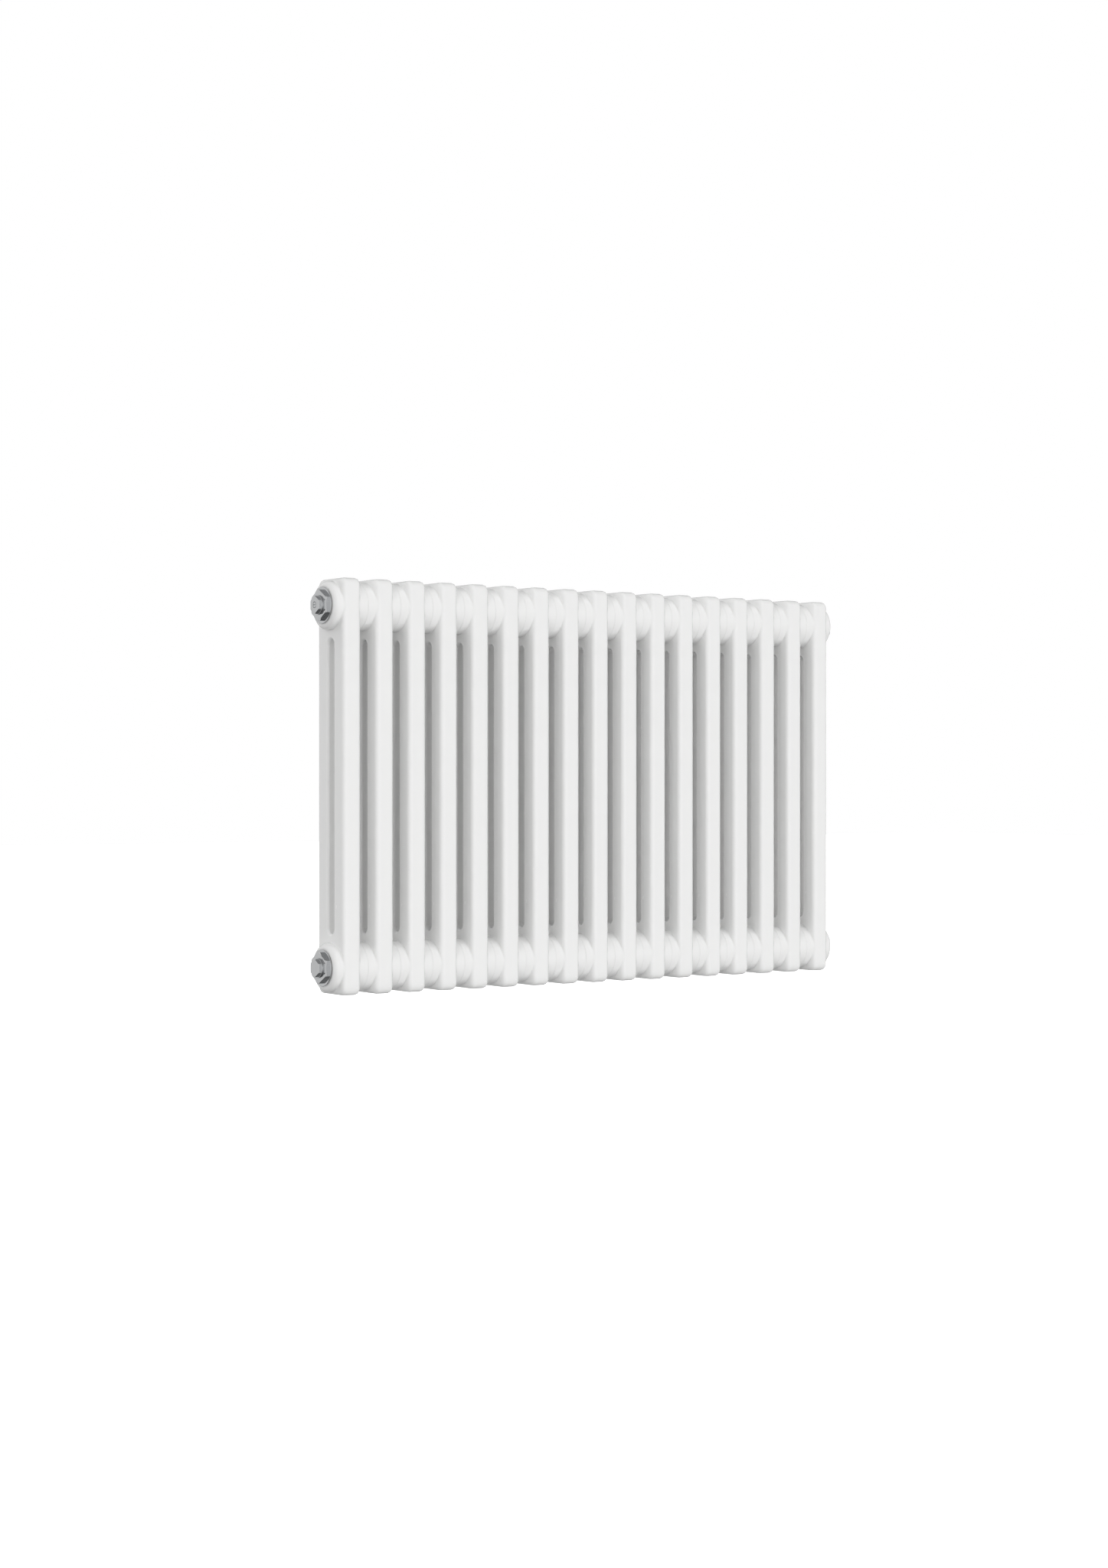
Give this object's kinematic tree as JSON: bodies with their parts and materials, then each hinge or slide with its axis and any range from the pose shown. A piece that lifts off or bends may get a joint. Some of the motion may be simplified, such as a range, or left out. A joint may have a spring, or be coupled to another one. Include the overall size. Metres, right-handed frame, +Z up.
{
  "type": "column radiator",
  "caption": "White two-column sectional radiator for wall brackets, with chrome bushes and plugs at one end, open valve tappings at the other, and a bleed screw.",
  "frame": {"origin": "under the middle of section_09, on the plane of the sections' undersides", "axes": "+X along the row of sections from the plugged end to the open tappings, +Y from the front to the wall side, +Z up"},
  "size_m": [0.7997, 0.062, 0.5],
  "materials": {
    "white_paint": "gloss white stoved paint over cast iron",
    "chrome": "bright chrome plate",
    "malleable_iron": "as cast and machined",
    "fibre": "matt jointing fibre"
  },
  "bodies": {
    "root": {"section_01": "white_paint", "section_02": "white_paint", "section_03": "white_paint", "section_04": "white_paint", "section_05": "white_paint", "section_06": "white_paint", "section_07": "white_paint", "section_08": "white_paint", "section_09": "white_paint", "section_10": "white_paint", "section_11": "white_paint", "section_12": "white_paint", "section_13": "white_paint", "section_14": "white_paint", "section_15": "white_paint", "section_16": "white_paint", "section_17": "white_paint", "nipple_bottom_01": "malleable_iron", "nipple_bottom_02": "malleable_iron", "nipple_bottom_03": "malleable_iron", "nipple_bottom_04": "malleable_iron", "nipple_bottom_05": "malleable_iron", "nipple_bottom_06": "malleable_iron", "nipple_bottom_07": "malleable_iron", "nipple_bottom_08": "malleable_iron", "nipple_bottom_09": "malleable_iron", "nipple_bottom_10": "malleable_iron", "nipple_bottom_11": "malleable_iron", "nipple_bottom_12": "malleable_iron", "nipple_bottom_13": "malleable_iron", "nipple_bottom_14": "malleable_iron", "nipple_bottom_15": "malleable_iron", "nipple_bottom_16": "malleable_iron", "nipple_top_01": "malleable_iron", "nipple_top_02": "malleable_iron", "nipple_top_03": "malleable_iron", "nipple_top_04": "malleable_iron", "nipple_top_05": "malleable_iron", "nipple_top_06": "malleable_iron", "nipple_top_07": "malleable_iron", "nipple_top_08": "malleable_iron", "nipple_top_09": "malleable_iron", "nipple_top_10": "malleable_iron", "nipple_top_11": "malleable_iron", "nipple_top_12": "malleable_iron", "nipple_top_13": "malleable_iron", "nipple_top_14": "malleable_iron", "nipple_top_15": "malleable_iron", "nipple_top_16": "malleable_iron", "gasket_bottom_left": "fibre", "gasket_bottom_right": "fibre", "gasket_top_left": "fibre", "gasket_top_right": "fibre", "bush_bottom_left": "chrome", "bush_bottom_right": "chrome", "bush_top_left": "chrome", "bush_top_right": "chrome", "vent_plug": "chrome", "blanking_plug": "chrome"},
    "bleed_screw": {"bleed_screw": "chrome"}
  },
  "joints": [
    {"name": "bleed_screw_turn", "type": "hinge", "parent": "root", "child": "bleed_screw", "pos_m": [-0.4025, 0, 0.4675], "axis": [-1, 0, 0], "range_deg": [0, 360]}
  ]
}
